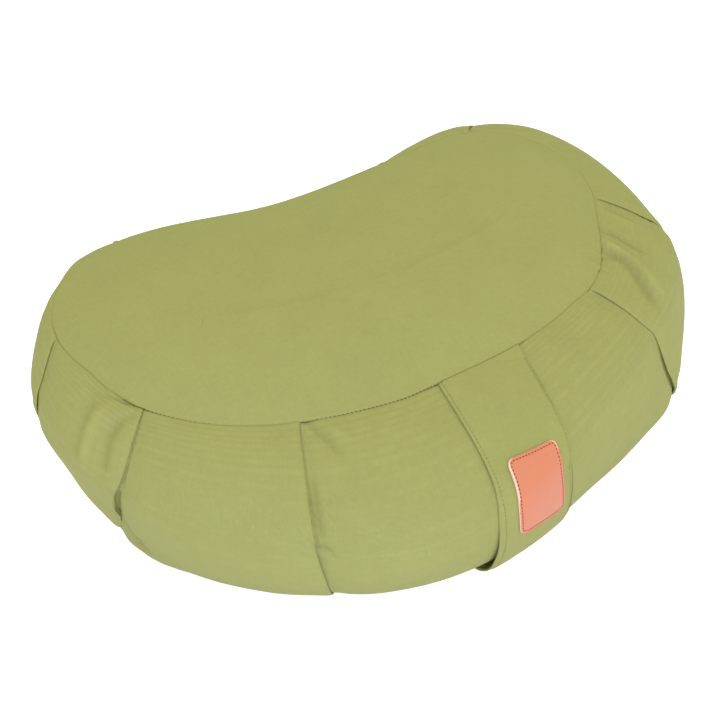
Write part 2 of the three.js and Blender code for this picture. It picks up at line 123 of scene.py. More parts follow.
# Creases of the side band. Each runs through places (along the top seam in mm, down: 0 at the top seam, 1 at
# the widest line, 2 at the base seam). Height is in mm, below 0 for a hollow, and the two widths are those of
# its right and left sides, seen from outside by one who follows its places.
Crease = namedtuple("Crease", "height widths places")
# Besides the form, these creases' heights paint shade into the cloth's colour in their hollows and light on
# their ridges
CREASES = [
    Crease(-1.8, (1.8, 1.8), [(-227, 0.08), (-216, 0.04), (-203, 0.01)]),
    Crease(-2.4, (3.5, 3), [(-207, 0.16), (-213, 0.36), (-214, 0.56), (-216, 0.78)]),
    Crease(2.2, (5, 3.5), [(-222, 0.18), (-225, 0.38), (-226, 0.56), (-228, 0.78)]),
    Crease(-1.3, (5, 3), [(-233, 0.2), (-232, 0.42), (-233, 0.62), (-233, 0.8)]),
    Crease(-3.2, (2.5, 2.5), [(-231, 1.44), (-227, 1.48), (-221, 1.5), (-214, 1.46)]),
    Crease(-2.5, (5, 3), [(-228, 1.56), (-221, 1.57), (-213, 1.56)]),
    Crease(-3.0, (2, 2), [(-222, 1.57), (-218, 1.55), (-212, 1.52)]),
    Crease(-1.6, (1.2, 3), [(-107, 0.36), (-109, 0.6), (-111, 0.84)]),
    Crease(-2.4, (2, 2.5), [(-114, 0.9), (-111, 1.0), (-109, 1.08)]),
    Crease(-1.8, (2, 2.5), [(-103, 0.0), (-96, 0.1), (-89, 0.26)]),
    Crease(1.2, (2.5, 3), [(-92, 0.04), (-87, 0.12), (-81, 0.22)]),
    Crease(-0.8, (4, 3), [(-88, 0.78), (-90, 1.0), (-92, 1.2)]),
    Crease(-2.0, (1.5, 1.5), [(-262, 0.9), (-258, 0.89), (-254, 0.9)]),
    Crease(-1.4, (1.8, 1.8), [(220, 0.2), (213, 0.32), (206, 0.44)]),
    Crease(1.0, (3, 3), [(216, 0.06), (209, 0.22), (202, 0.42)]),
    Crease(-2.2, (1.8, 2.2), [(196, 0.0), (190, 0.18), (183, 0.3), (176, 0.46)]),
    Crease(2.6, (3, 2.5), [(185, 0.03), (178, 0.1), (174, 0.18), (170, 0.26)]),
    Crease(-3.0, (4, 2.5), [(172, 0.02), (169, 0.17), (163, 0.3), (155, 0.42), (147, 0.54), (142, 0.72)]),
    Crease(1.6, (4, 3), [(169, 0.27), (162, 0.4), (154, 0.58), (148, 0.8)]),
    Crease(-1.4, (1.5, 1.5), [(163, 0.0), (161, 0.1)]),
    Crease(-1.4, (1.5, 1.5), [(152, 0.0), (151, 0.1)]),
    Crease(-2.2, (1.5, 1.5), [(-210, 0.96), (-215, 1.1), (-222, 1.25), (-230, 1.4)]),
]

# How far from its middle a crease is felt and the stretch over which it fades out at its ends, both in
# metres, the share of its height left there, and how many points its line has
CREASE_REACH = 0.1
CREASE_ENDS = (-0.002, 0.01)
CREASE_END_SHARE = 0.25
CREASE_POINTS = 14

# Broad swells and dips of the side band, in the same terms
SWELLS = [
    Crease(-1.6, (14, 14), [(204, 0.9), (191, 0.89), (178, 0.94), (168, 1.1)]),
    Crease(0.7, (6, 6), [(221, 0.8), (215, 0.95), (210, 1.1)]),
    Crease(1.6, (5, 5), [(-356, 0.02), (-335, 0.02), (-312, 0.02)]),
]

# Pleats whose folded edge lies flatter or stands higher in places: their line's places at the top seam, the
# widest line and the base seam, the side that the edge faces, the stretch down the band, the share of the
# step that goes there, below 0 where the edge stands higher, and how dark the painted shade in the crease
# beside the edge is
PleatStep = namedtuple("PleatStep", "line faces downs share dark")
PLEAT_STEPS = [
    PleatStep((-202, -212, -266), 1, (-0.3, 0.9), -0.3, 10),
    PleatStep((-106, -114, -121), 1, (-0.3, 1.1), -0.5, 6),
    PleatStep((-286, -271, -298), 1, (0.6, 1.9), 0.9, 0),
    PleatStep((130, 128, 149), -1, (1.1, 2.2), 0.9, 0),
    PleatStep((229, 211, 205), -1, (0.45, 1.4), 0.8, 4),
    PleatStep((346, 330, 320), -1, (-1, 0.9), 0.8, 0),
    PleatStep((418, 416, 414), -1, (-1, 1.1), 1.0, 0),
    PleatStep((520, 522, 522), 1, (-1, 1.1), 1.0, 0),
    PleatStep((618, 622, 626), 1, (-1, 1.1), 1.0, 0),
]
# Heights in millimetres that level a pleat's step, by the place across it
STEP = np.array([
    (-12, 0), (-5, -0.6), (-1.5, -0.9), (0, -0.4), (1.2, 0.9), (4, 0.7), (8, 0.3), (14, 0),
], float)
# Over how much of the band's height a step fades, and how soon below the top seam it has its full height
STEP_FADE = 0.25
STEP_FULL = 0.15

# Small gathers along the top seam: each wave's length and phase, where along the seam they stand, how far to
# either side they reach and their height there, and how far from the seam they fade, all in millimetres
PUCKER_WAVES = [(6.7, 0.4), (10.9, 2.1)]
PUCKERS = [(165, 14, 0.5), (-214, 12, 0.35), (-96, 12, 0.25), (-160, 25, 0.1), (60, 60, 0.06)]
PUCKER_FADE = {"band": 9, "panel": 10}
PANEL_PUCKER = {"share": 0.5, "slide": 9}
# Where down the band the gathers start
PUCKER_START = 0.03
# From where to where inside its edge, in millimetres, the top panel's rim stops running on into the seam
RIM_FADE = (0.6, 3.5)
# Slow waves that the filling gives the cloth: their height in millimetres, and on the band how fast they turn
# along X, Y and Z, in radians to the metre, and where they start
BAND_WAVE = {"height": 0.3, "turns": (95, 83, 77), "starts": (1, 2, 0)}
PANEL_WAVE = 0.2

CAMERA = {"azimuth": -31.64, "elevation": 44.14, "distance": 1.3124, "target": (0, 0, 0.06)}
LENS = {"focal_px": 2016.8, "centre_px": (398.3, 370.9), "frame_px": 725, "sensor_mm": 36}

# Soft lights: each one's place and width in metres, and its colour
LIGHTS = {
    "key": ((-0.9, -1.9, 1.6), 1.6, (0.46, 0.5, 1)),
    "top": ((0.3, 0.3, 2.2), 2.4, (1, 1, 1)),
    "fill": ((1.9, -0.8, 1.1), 1.4, (1, 1, 1)),
}
LIGHTS_AIM = (0, 0, 0.07)
ROOM_COLOR = (1, 0.99, 0.86, 1)
FLOOR_REACH = 30.0


# The cushion's form

def unit(rows):
    return rows / np.linalg.norm(rows, axis=1, keepdims=True)


def dot(rows, others):
    return np.einsum("ij,ij->i", rows, others)


def walked_lengths(points):
    """The length walked along a line of points up to each of them."""
    strides = np.linalg.norm(np.diff(points, axis=0), axis=1)
    return np.concatenate([[0], np.cumsum(strides)])


def hill(distance, width):
    """1 at no distance, and falling softly to both sides over the width."""
    return np.exp(-((distance / width) ** 2))


def across_ridge(ridge, distance):
    return ridge.height * hill(distance - ridge.at, ridge.width)


def smooth_step(low, high, value):
    share = np.clip((value - low) / (high - low), 0, 1)
    return share * share * (3 - 2 * share)


def closed_spline(t):
    """x, y and bulge of the top seam's line at t, from 0 to 1."""
    count = len(OUTLINE)
    place = np.mod(t, 1) * count
    start = np.floor(place).astype(int)
    w = (place - start)[:, None]
    weights = ((1 - w) ** 3, 3 * w**3 - 6 * w**2 + 4, -3 * w**3 + 3 * w**2 + 3 * w + 1, w**3)
    return sum(weight / 6 * OUTLINE[(start + i - 1) % count] for i, weight in enumerate(weights))


class SeamLine:
    """The top seam's line, read by the length along it."""

    def __init__(self, steps=2400):
        self.t = np.linspace(0, 1, steps + 1)
        self.lengths = walked_lengths(closed_spline(self.t)[:, :2])
        self.length = self.lengths[-1]
        low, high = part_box("top_panel")
        middle = np.array([(low.x + high.x) / 2, (low.y + high.y) / 2]) / MM
        pulled = self.at(self.lengths)[0]
        self.shift = middle - (pulled.min(0) + pulled.max(0)) / 2

    def at(self, along):
        """Point, level direction outwards, bulge and pull, all in millimetres."""
        step = 1e-4
        t = np.interp(np.mod(along, self.length), self.lengths, self.t)
        row = closed_spline(t)
        tangent = unit(closed_spline(t + step)[:, :2] - closed_spline(t - step)[:, :2])
        out = np.stack([tangent[:, 1], -tangent[:, 0]], 1)
        pull = np.interp(along, *SEAM_PULL.T, period=self.length)
        return row[:, :2] + out * pull[:, None], out, row[:, 2], pull


SEAM = SeamLine()


def shorter_way(away):
    """A distance along the top seam, taken the shorter way round."""
    half = SEAM.length / 2
    return np.mod(away + half, SEAM.length) - half


def seam_height(points):
    x, y = points[:, 0], points[:, 1]
    sag = SEAM_END["sag"] * (x / SEAM_END["x"]) ** 2
    lean = SEAM_END["lean"] * x / SEAM_END["x"]
    return SEAM_HEIGHT - sag - lean + SEAM_BACK["rise"] * y / SEAM_BACK["y"]


def band_form(along, down):
    """Points of the smooth side band, in metres."""
    along, down = np.broadcast_arrays(np.asarray(along, float), np.clip(down, 0.0, 2.0))
    point, out, bulge, pull = SEAM.at(along)
    height = seam_height(point)
    angle = np.where(down <= 1, down, down - 1) * np.pi / 2
    sine = np.sin(angle) ** (2 / SECTION_ROUNDNESS)
    cosine = np.maximum(np.cos(angle), 0) ** (2 / SECTION_ROUNDNESS)
    upper = WIDEST_HEIGHT + (height - WIDEST_HEIGHT) * cosine
    lower = WIDEST_HEIGHT - (WIDEST_HEIGHT - BASE_SEAM_HEIGHT) * sine
    z = np.where(down <= 1, upper, lower)
    reach = np.where(down <= 1, bulge * sine, BASE_OUTSET + (bulge - BASE_OUTSET) * cosine)
    reach = reach - pull * smooth_step(0, PULL_FADE, down)
    slid = (1 - z / height)[:, None]
    level = point + out * reach[:, None] + np.array(BASE_SHIFT) * slid + SEAM.shift
    return np.column_stack([level, z]) * MM


def band_normal(along, down):
    along, down = np.broadcast_arrays(np.asarray(along, float), np.asarray(down, float))
    step = 0.01
    below, above = np.minimum(down + step, 2), np.maximum(down - step, 0)
    downwards = band_form(along, below) - band_form(along, above)
    sideways = band_form(along + 1, down) - band_form(along - 1, down)
    return unit(np.cross(downwards, sideways))


def line_at(line, down):
    """Quadratic line through its places at the top seam, the widest line and the base seam."""
    top, middle, foot = line
    near_top = top * (1 - down) * (2 - down) / 2
    return near_top + middle * down * (2 - down) + foot * down * (down - 1) / 2


# Meshes

def new_object(name, mesh):
    piece = bpy.data.objects.new(name, mesh)
    bpy.context.scene.collection.objects.link(piece)
    return piece


def merged_solid(node):
    """The node's own shape with its doubled points merged, to be worked on and freed."""
    work = bmesh.new()
    work.from_mesh(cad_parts[node].data)
    bmesh.ops.remove_doubles(work, verts=work.verts, dist=MERGE_DISTANCE)
    return work


def merged_copy(node, name):
    """A new piece with the node's own shape, its flat pairs of triangles joined to quads."""
    work = merged_solid(node)
    bmesh.ops.join_triangles(
        work, faces=work.faces, angle_face_threshold=SHARP_ANGLE, angle_shape_threshold=SHARP_ANGLE)
    mesh = bpy.data.meshes.new(name)
    work.to_mesh(mesh)
    work.free()
    return new_object(name, mesh)


def finished(piece, modifiers):
    """Applies a few modifiers to a piece, each given as its type and its settings."""
    for kind, settings in modifiers:
        modifier = piece.modifiers.new(kind.title(), kind)
        for key, value in settings.items():
            setattr(modifier, key, value)
    depsgraph = bpy.context.evaluated_depsgraph_get()
    mesh = bpy.data.meshes.new_from_object(piece.evaluated_get(depsgraph))
    piece.modifiers.clear()
    old, piece.data = piece.data, mesh
    mesh.name = piece.name
    bpy.data.meshes.remove(old)
    return piece


def subdivision(levels):
    return ("SUBSURF", {"levels": levels, "render_levels": levels})


def bevel(width, segments, **settings):
    """Rounds the sharp edges, to a width in metres."""
    shared = {"width": width, "segments": segments, "limit_method": "ANGLE", "angle_limit": SHARP_ANGLE}
    return ("BEVEL", {**shared, **settings})


def vertex_rows(piece, name):
    rows = np.empty(len(piece.data.vertices) * 3)
    piece.data.vertices.foreach_get(name, rows)
    return rows.reshape(-1, 3)


def points_of(piece):
    return vertex_rows(piece, "co")


def normals_of(piece):
    return vertex_rows(piece, "normal")


def move_points(piece, points):
    piece.data.vertices.foreach_set("co", np.ascontiguousarray(points, dtype=np.float32).ravel())
    piece.data.update()


def raise_surface(piece, heights):
    """Moves each vertex along its normal, by heights in millimetres."""
    move_points(piece, points_of(piece) + normals_of(piece) * (heights * MM)[:, None])


def shade_smooth(piece):
    piece.data.polygons.foreach_set("use_smooth", np.ones(len(piece.data.polygons), bool))


def surface_of(piece):
    work = bmesh.new()
    work.from_mesh(piece.data)
    tree = BVHTree.FromBMesh(work)
    work.free()
    return tree


def nearest_tree(points):
    tree = KDTree(len(points))
    for i, point in enumerate(points):
        tree.insert(point, i)
    tree.balance()
    return tree


def onto(surface, points, normals, reach=0.03):
    """Drops points on a surface along their normals, from outside, and gives the surface's normals too."""
    found, facing = [], []
    for point, normal in zip(points, normals):
        hit = surface.ray_cast(Vector(point + normal * reach), Vector(-normal), 2 * reach)
        if hit[0] is None:
            hit = surface.find_nearest(Vector(point))
        found.append(hit[0])
        facing.append(hit[1])
    return np.array(found), np.array(facing)


def through(places, count):
    """A smooth line of count points through a few places."""
    places = np.array(places, float)
    order = np.arange(len(places))
    t = np.linspace(0, len(places) - 1, count)
    if len(places) == 2:
        return np.column_stack([np.interp(t, order, column) for column in places.T])
    degree = min(len(places) - 1, 3)
    return np.column_stack([np.polyval(np.polyfit(order, column, degree), t) for column in places.T])


def nearest_on_path(points, path):
    """For each point the distance to a path, the length walked to its nearest place, the offset from there
    and the path's direction there, and last the path's length, all in metres."""
    best = np.full(len(points), np.inf)
    along = np.zeros(len(points))
    offset = np.zeros_like(points)
    tangent = np.zeros_like(points)
    walked = 0.0
    for start, end in zip(path[:-1], path[1:]):
        run = end - start
        length = np.linalg.norm(run)
        share = np.clip((points - start) @ run / length**2, 0, 1)
        apart = points - start - share[:, None] * run
        distance = np.linalg.norm(apart, axis=1)
        nearer = distance < best
        best[nearer] = distance[nearer]
        along[nearer] = walked + share[nearer] * length
        offset[nearer] = apart[nearer]
        tangent[nearer] = run / length
        walked += length
    return best, along, offset, tangent, walked


def places_on_band(points):
    """Nearest along and down of points on the side band."""
    alongs = np.arange(0, SEAM.length, 3.0)
    downs = np.linspace(0, 2, 41)
    grid = np.array([(a, d) for d in downs for a in alongs])
    places = band_form(grid[:, 0], grid[:, 1])
    tree = nearest_tree(places)
    nearest = [tree.find(point)[1] for point in points]
    found = grid[nearest]
    step_along = band_form(found[:, 0] + 1, found[:, 1]) - places[nearest]
    found[:, 0] += dot(points - places[nearest], step_along) / dot(step_along, step_along)
    return found[:, 0], found[:, 1]


def path_on(surface, along, down):
    """Points on a surface at places of the side band, and the normals there."""
    return onto(surface, band_form(along, down), band_normal(along, down))


def crease_heights(piece, creases):
    """Heights in millimetres that the creases give a piece's vertices."""
    points, normals = points_of(piece), normals_of(piece)
    heights = np.zeros(len(points))
    surface = surface_of(piece)
    for crease in creases:
        path, _ = path_on(surface, *through(crease.places, CREASE_POINTS).T)
        near = np.linalg.norm(points - path.mean(0), axis=1) < CREASE_REACH
        distance, walked, offset, tangent, length = nearest_on_path(points[near], path)
        side = dot(np.cross(tangent, normals[near]), offset)
        width = np.where(side > 0, *crease.widths) * MM
        ends = smooth_step(*CREASE_ENDS, walked) * smooth_step(*CREASE_ENDS, length - walked)
        share = CREASE_END_SHARE + (1 - CREASE_END_SHARE) * ends
        heights[near] += crease.height * hill(distance, width) * share
    return heights


def pleat_steps(along, down):
    """Heights in millimetres that lay the pleats' edges flatter or raise them, and the painted shade of the
    creases beside them.
    """
    height, dark = np.zeros(len(along)), np.zeros(len(along))
    lifted = 0.5 + 0.5 * smooth_step(0, STEP_FULL, down)
    for pleat in PLEAT_STEPS:
        start, end = pleat.downs
        fade = smooth_step(start, start + STEP_FADE, down) * (1 - smooth_step(end - STEP_FADE, end, down))
        across = shorter_way(along - line_at(pleat.line, down)) * pleat.faces
        height += pleat.share * fade * lifted * np.interp(across, *STEP.T)
        # Painted shade in the crease beside the folded edge
        dark += pleat.dark * fade * across_ridge(PAINTED_SHADE_LINE, across)
    return height, dark


def pucker(along):
    """Height in millimetres of the gathers at places of the top seam."""
    waves = sum(np.sin(2 * np.pi * along / length + phase) for length, phase in PUCKER_WAVES)
    return waves * sum(tall * hill(shorter_way(along - place), reach) for place, reach, tall in PUCKERS)


def set_uv(piece, u, v, turn=None):
    """Writes a cloth map, in metres, and keeps each face whole where u turns over."""
    corners = np.empty(len(piece.data.loops), np.int32)
    piece.data.loops.foreach_get("vertex_index", corners)
    u, v = u[corners], v[corners]
    if turn:
        starts = np.empty(len(piece.data.polygons), np.int32)
        piece.data.polygons.foreach_get("loop_start", starts)
        totals = np.diff(np.append(starts, len(corners)))
        first = np.repeat(u[starts], totals)
        u = u - turn * np.round((u - first) / turn)
    layer = piece.data.uv_layers.new(name="cloth")
    layer.data.foreach_set("uv", np.column_stack([u, v]).astype(np.float32).ravel())


# Materials

class Nodes:
    """Short ways to add and join the nodes of one tree."""

    def __init__(self, tree):
        self.tree = tree

    def add(self, kind, inputs=None, **settings):
        node = self.tree.nodes.new(kind)
        for key, value in settings.items():
            setattr(node, key, value)
        for key, value in (inputs or {}).items():
            if isinstance(value, bpy.types.NodeSocket):
                self.tree.links.new(value, node.inputs[key])
            else:
                node.inputs[key].default_value = value
        return node

    def math(self, operation, *values):
        return self.add("ShaderNodeMath", dict(enumerate(values)), operation=operation).outputs[0]

    def scaled(self, vector, factor):
        return self.add("ShaderNodeVectorMath", {0: vector, "Scale": factor}, operation="SCALE").outputs[0]

    def bump(self, height, strength, distance, below=None):
        """The normals of a relief, on top of those of a coarser one where it is given."""
        inputs = {"Height": height, "Strength": strength, "Distance": distance}
        if below:
            inputs["Normal"] = below
        return self.add("ShaderNodeBump", inputs).outputs[0]


def new_group(name, kind, sockets):
    """A node tree with its sockets, given as in or out, name, kind and default value."""
    tree = bpy.data.node_groups.new(name, kind)
    for side, label, form, value in sockets:
        socket = tree.interface.new_socket(name=label, in_out=side, socket_type="NodeSocket" + form)
        if value is not None:
            socket.default_value = value
    nodes = Nodes(tree)
    return tree, nodes, nodes.add("NodeGroupInput").outputs


def weave_group():
    """Plain weave: each crossing of two threads is a small bump, and threads are thicker in places."""
    tree = bpy.data.node_groups.get("plain weave")
    if tree:
        return tree
    tree, nodes, given = new_group("plain weave", "ShaderNodeTree", [
        ("INPUT", "Map", "Vector", None),
        ("INPUT", "Threads per metre", "Float", 2000.0),
        ("INPUT", "Slubs", "Float", 0.5),
        ("OUTPUT", "Height", "Float", None),
        ("OUTPUT", "Shade", "Float", None),
    ])
    threads = nodes.scaled(given["Map"], given["Threads per metre"])
    axes = nodes.add("ShaderNodeSeparateXYZ", {0: nodes.scaled(threads, math.pi)}).outputs
    crossing = nodes.math("MULTIPLY", nodes.math("COSINE", axes[0]), nodes.math("COSINE", axes[1]))
    bumps = nodes.math("ABSOLUTE", crossing)
    slubs = []
    for stretch in ((0.9, 0.05, 1), (0.05, 0.9, 1)):
        long = nodes.add("ShaderNodeVectorMath", {0: threads, 1: stretch}, operation="MULTIPLY")
        noise = nodes.add(
            "ShaderNodeTexNoise", {"Vector": long.outputs[0], "Scale": 1.0, "Detail": 1.0},
            noise_dimensions="2D")
        slubs.append(noise.outputs["Fac"])
    slub = nodes.math("SUBTRACT", nodes.math("ADD", *slubs), 1.0)
    thick = nodes.math("MULTIPLY", slub, given["Slubs"])
    height = nodes.math("ADD", bumps, thick)
    shade = nodes.math("ADD", nodes.math("MULTIPLY", thick, 0.2), nodes.math("MULTIPLY", bumps, 0.05))
    nodes.add("NodeGroupOutput", {"Height": height, "Shade": nodes.math("ADD", shade, 0.97)})
    return tree


def mottle_group():
    """Slow unevenness of colour and relief, as of dyed cloth and leather that has been handled."""
    tree = bpy.data.node_groups.get("soft mottle")
    if tree:
        return tree
    tree, nodes, given = new_group("soft mottle", "ShaderNodeTree", [
        ("INPUT", "Size", "Float", 0.03),
        ("INPUT", "Amount", "Float", 0.03),
        ("OUTPUT", "Height", "Float", None),
        ("OUTPUT", "Shade", "Float", None),
    ])
    place = nodes.add("ShaderNodeTexCoord").outputs["Object"]
    scale = nodes.math("DIVIDE", 1.0, given["Size"])
    noise = nodes.add(
        "ShaderNodeTexNoise", {"Vector": place, "Scale": scale, "Detail": 3.0, "Roughness": 0.5})
    level = nodes.math("SUBTRACT", noise.outputs["Fac"], 0.5)
    swing = nodes.math("MULTIPLY", level, nodes.math("MULTIPLY", given["Amount"], 4.0))
    shade = nodes.math("ADD", swing, 1.0)
    nodes.add("NodeGroupOutput", {"Height": noise.outputs["Fac"], "Shade": shade})
    return tree


def grain_group():
    """Fine leather grain: small rounded cells with hairline valleys."""
    tree, nodes, given = new_group("leather grain", "ShaderNodeTree", [
        ("INPUT", "Cell", "Float", 0.0009),
        ("OUTPUT", "Height", "Float", None),
        ("OUTPUT", "Valley", "Float", None),
    ])
    place = nodes.add("ShaderNodeTexCoord").outputs["Object"]
    scale = nodes.math("DIVIDE", 1.0, given["Cell"])
    cells = nodes.add("ShaderNodeTexVoronoi", {"Vector": place, "Scale": scale}, feature="SMOOTH_F1")
    noise = nodes.add(
        "ShaderNodeTexNoise", {"Vector": place, "Scale": nodes.math("MULTIPLY", scale, 2.3), "Detail": 3.0})
    rough = nodes.math("ADD", cells.outputs["Distance"], nodes.math("MULTIPLY", noise.outputs["Fac"], 0.4))
    height = nodes.math("SUBTRACT", 1.2, rough)
    valley = nodes.math("SMOOTH_MIN", cells.outputs["Distance"], 1.0, 0.2)
    nodes.add("NodeGroupOutput", {"Height": height, "Valley": valley})
    return tree


def new_material(name):
    material = bpy.data.materials.new(name)
    material.use_nodes = True
    material.node_tree.nodes.clear()
    return material, Nodes(material.node_tree)


def surface(nodes, inputs):
    """Ends a material in one Principled surface."""
    shader = nodes.add("ShaderNodeBsdfPrincipled", inputs)
    nodes.add("ShaderNodeOutputMaterial", {"Surface": shader.outputs[0]})


def node_group(nodes, tree, inputs):
    return nodes.add("ShaderNodeGroup", inputs, node_tree=tree).outputs


def shaded(nodes, color, *shades):
    """A colour darkened and lightened by one or more shades."""
    product = shades[0]
    for shade in shades[1:]:
        product = nodes.math("MULTIPLY", product, shade)
    return nodes.scaled(color[:3], product)


def cotton_material(name, color, threads, mottle):
    material, nodes = new_material(name)
    cloth = nodes.add("ShaderNodeUVMap", uv_map="cloth").outputs[0]
    weave = node_group(nodes, weave_group(), {"Map": cloth, "Threads per metre": threads, "Slubs": 0.5})
    soft = node_group(nodes, mottle_group(), {"Size": 0.028, "Amount": mottle})
    fine = node_group(nodes, mottle_group(), {"Size": 0.003, "Amount": mottle})
    # Painted shade and light: the cloth's colour darkens by 4.5% per millimetre of hollow in the side band's
    # creases and beside its pleats' edges, and lightens as much on its ridges, from the attribute the side
    # band stores
    fold = nodes.add("ShaderNodeAttribute", attribute_name="fold").outputs["Fac"]
    hollow = nodes.math("MULTIPLY_ADD", fold, 0.045, 1.0)
    tint = shaded(nodes, color, weave["Shade"], soft["Shade"], fine["Shade"], hollow)
    creased = nodes.bump(soft["Height"], 0.5, 0.0012)
    crumpled = nodes.bump(fine["Height"], 0.35, 0.0003, creased)
    woven = nodes.bump(weave["Height"], 0.5, 0.00014, crumpled)
    surface(nodes, {"Base Color": tint, "Normal": woven, "Roughness": 0.7, "Specular IOR Level": 0.4})
    return material


def thread_material(name, color):
    material, nodes = new_material(name)
    place = nodes.add("ShaderNodeTexCoord").outputs["Object"]
    twist = nodes.add(
        "ShaderNodeTexWave", {"Vector": place, "Scale": 900.0, "Distortion": 1.5}, bands_direction="DIAGONAL")
    soft = node_group(nodes, mottle_group(), {"Size": 0.01, "Amount": 0.05})
    bump = nodes.bump(twist.outputs["Fac"], 0.5, 0.0001)
    tint = shaded(nodes, color, soft["Shade"])
    surface(nodes, {"Base Color": tint, "Normal": bump, "Roughness": 0.8, "Specular IOR Level": 0.2})
    return material


def leather_material(name, color):
    material, nodes = new_material(name)
    grain = node_group(nodes, grain_group(), {"Cell": 0.0008})
    soft = node_group(nodes, mottle_group(), {"Size": 0.012, "Amount": 0.03})
    wear = nodes.add("ShaderNodeMapRange", {"Value": grain["Valley"], "To Min": 0.96, "To Max": 1.03})
    tint = shaded(nodes, color, soft["Shade"], wear.outputs[0])
    rough = nodes.add("ShaderNodeMapRange", {"Value": soft["Height"], "To Min": 0.34, "To Max": 0.46})
    waved = nodes.bump(soft["Height"], 0.4, 0.0005)
    grained = nodes.bump(grain["Height"], 0.35, 0.00008, waved)
    surface(nodes, {
        "Base Color": tint, "Normal": grained, "Roughness": rough.outputs[0], "Specular IOR Level": 0.6,
        "Coat Weight": 0.1, "Coat Roughness": 0.25})
    return material


def edge_material(name, color):
    """The leather's pale cut edge, with its short fibres."""
    material, nodes = new_material(name)
    soft = node_group(nodes, mottle_group(), {"Size": 0.0012, "Amount": 0.06})
    bump = nodes.bump(soft["Height"], 0.6, 0.0002)
    surface(nodes, {"Base Color": shaded(nodes, color, soft["Shade"]), "Normal": bump, "Roughness": 0.8})
    return material


def dress(piece, *materials):
    piece.data.materials.clear()
    for material in materials:
        piece.data.materials.append(material)


def cotton():
    found = bpy.data.materials.get("olive cotton")
    settings = bpy.context.scene.cushion_cloth
    return found or cotton_material("olive cotton", settings.color, settings.threads, settings.mottle)


# Stitches

STITCH_SEED = 7
# A stitch's length between the shortest and the longest, as a share of the usual one
SHORTEST = 0.9
LONGEST = 1.06
# Share of the pitch that lies on top as thread, and how much wider the base seam's pitch is
SHOWN_THREAD = {"seam": 0.62, "strap": 0.8, "patch": 0.6}
BASE_PITCH = 1.2
# Where the seams' threads lie against their lines, in metres: the top one where it shows, and how much
# deeper it is sunk elsewhere, and the base one
TOP_THREAD = {"out": 0.0002, "down": 0.0001}
SUNK_THREAD = {"in": 0.0006, "down": 0.0007}
BASE_THREAD = {"in": 0.0006, "up": 0.0004}
# Half the run in millimetres over which the top seam's thread sinks
SUNK_FADE = 4
# How far the middles of the threads stand out from the strap and the patch, in metres
THREAD_OUT = {"strap": 0.00005, "patch": 0.00004}


def stitch_tree():
    """Lays threads end to end along a path, each one sunk a little at its ends."""
    tree = bpy.data.node_groups.get("row of stitches")
    if tree:
        return tree
    tree, nodes, given = new_group("row of stitches", "GeometryNodeTree", [
        ("INPUT", "Path", "Geometry", None),
        ("INPUT", "Pitch", "Float", 0.003),
        ("INPUT", "Stitch length", "Float", 0.0024),
        ("INPUT", "Thread thickness", "Float", 0.0005),
        ("INPUT", "Seed", "Int", STITCH_SEED),
        ("INPUT", "Thread", "Material", None),
        ("OUTPUT", "Stitches", "Geometry", None),
    ])
    resampled = nodes.add(
        "GeometryNodeResampleCurve", {"Curve": given["Path"], "Length": given["Pitch"]}, mode="LENGTH")
    ball = nodes.add("GeometryNodeMeshUVSphere", {"Segments": 8, "Rings": 6, "Radius": 1.0})
    half = nodes.math("MULTIPLY", given["Stitch length"], 0.5)
    radius = nodes.math("MULTIPLY", given["Thread thickness"], 0.5)
    sizes = nodes.add("ShaderNodeCombineXYZ", {0: half, 1: radius, 2: radius})
    stitch = nodes.add(
        "GeometryNodeTransform", {"Geometry": ball.outputs["Mesh"], "Scale": sizes.outputs[0]})
    tangent = nodes.add("GeometryNodeInputTangent")
    facing = nodes.add("FunctionNodeAlignRotationToVector", {"Vector": tangent.outputs[0]}, axis="X")
    uneven = nodes.add(
        "FunctionNodeRandomValue", {"Seed": given["Seed"], 2: SHORTEST, 3: LONGEST}, data_type="FLOAT")
    spread = nodes.add("ShaderNodeCombineXYZ", {0: uneven.outputs[1], 1: 1.0, 2: 1.0})
    instances = nodes.add("GeometryNodeInstanceOnPoints", {
        "Points": resampled.outputs[0], "Instance": stitch.outputs[0], "Rotation": facing.outputs[0],
        "Scale": spread.outputs[0]})
    real = nodes.add("GeometryNodeRealizeInstances", {0: instances.outputs[0]})
    smooth = nodes.add("GeometryNodeSetShadeSmooth", {0: real.outputs[0]})
    painted = nodes.add(
        "GeometryNodeSetMaterial", {"Geometry": smooth.outputs[0], "Material": given["Thread"]})
    nodes.add("NodeGroupOutput", {"Stitches": painted.outputs[0]})
    return tree


def stitch_size(settings, place):
    length = settings.pitch * SHOWN_THREAD[place]
    return {"Pitch": settings.pitch, "Stitch length": length, "Thread thickness": settings.thickness}


def stitches(name, paths, closed, size, thread):
    """A mesh of stitches along one or more paths of points."""
    curve = bpy.data.curves.new(name + "_path", "CURVE")
    curve.dimensions = "3D"
    for path in paths:
        spline = curve.splines.new("POLY")
        spline.points.add(len(path) - 1)
        spline.points.foreach_set("co", np.column_stack([path, np.ones(len(path))]).ravel())
        spline.use_cyclic_u = closed
    holder = new_object(name + "_path", curve)
    modifier = holder.modifiers.new("Stitches", "NODES")
    tree = stitch_tree()
    modifier.node_group = tree
    inputs = {item.name: item.identifier for item in tree.interface.items_tree if item.in_out == "INPUT"}
    for label, value in {**size, "Seed": STITCH_SEED, "Thread": thread}.items():
        modifier[inputs[label]] = value
    depsgraph = bpy.context.evaluated_depsgraph_get()
    mesh = bpy.data.meshes.new_from_object(holder.evaluated_get(depsgraph))
    bpy.data.objects.remove(holder)
    mesh.name = name
    return new_object(name, mesh)


# Pieces

def strap_middle(piece, count):
    """The middle line of the strap's outer face, from its top end down: places down, points and normals."""
    downs = np.linspace(STRAP["start"], STRAP["end"], count)
    return downs, *path_on(surface_of(piece), line_at(STRAP["line"], downs), downs)


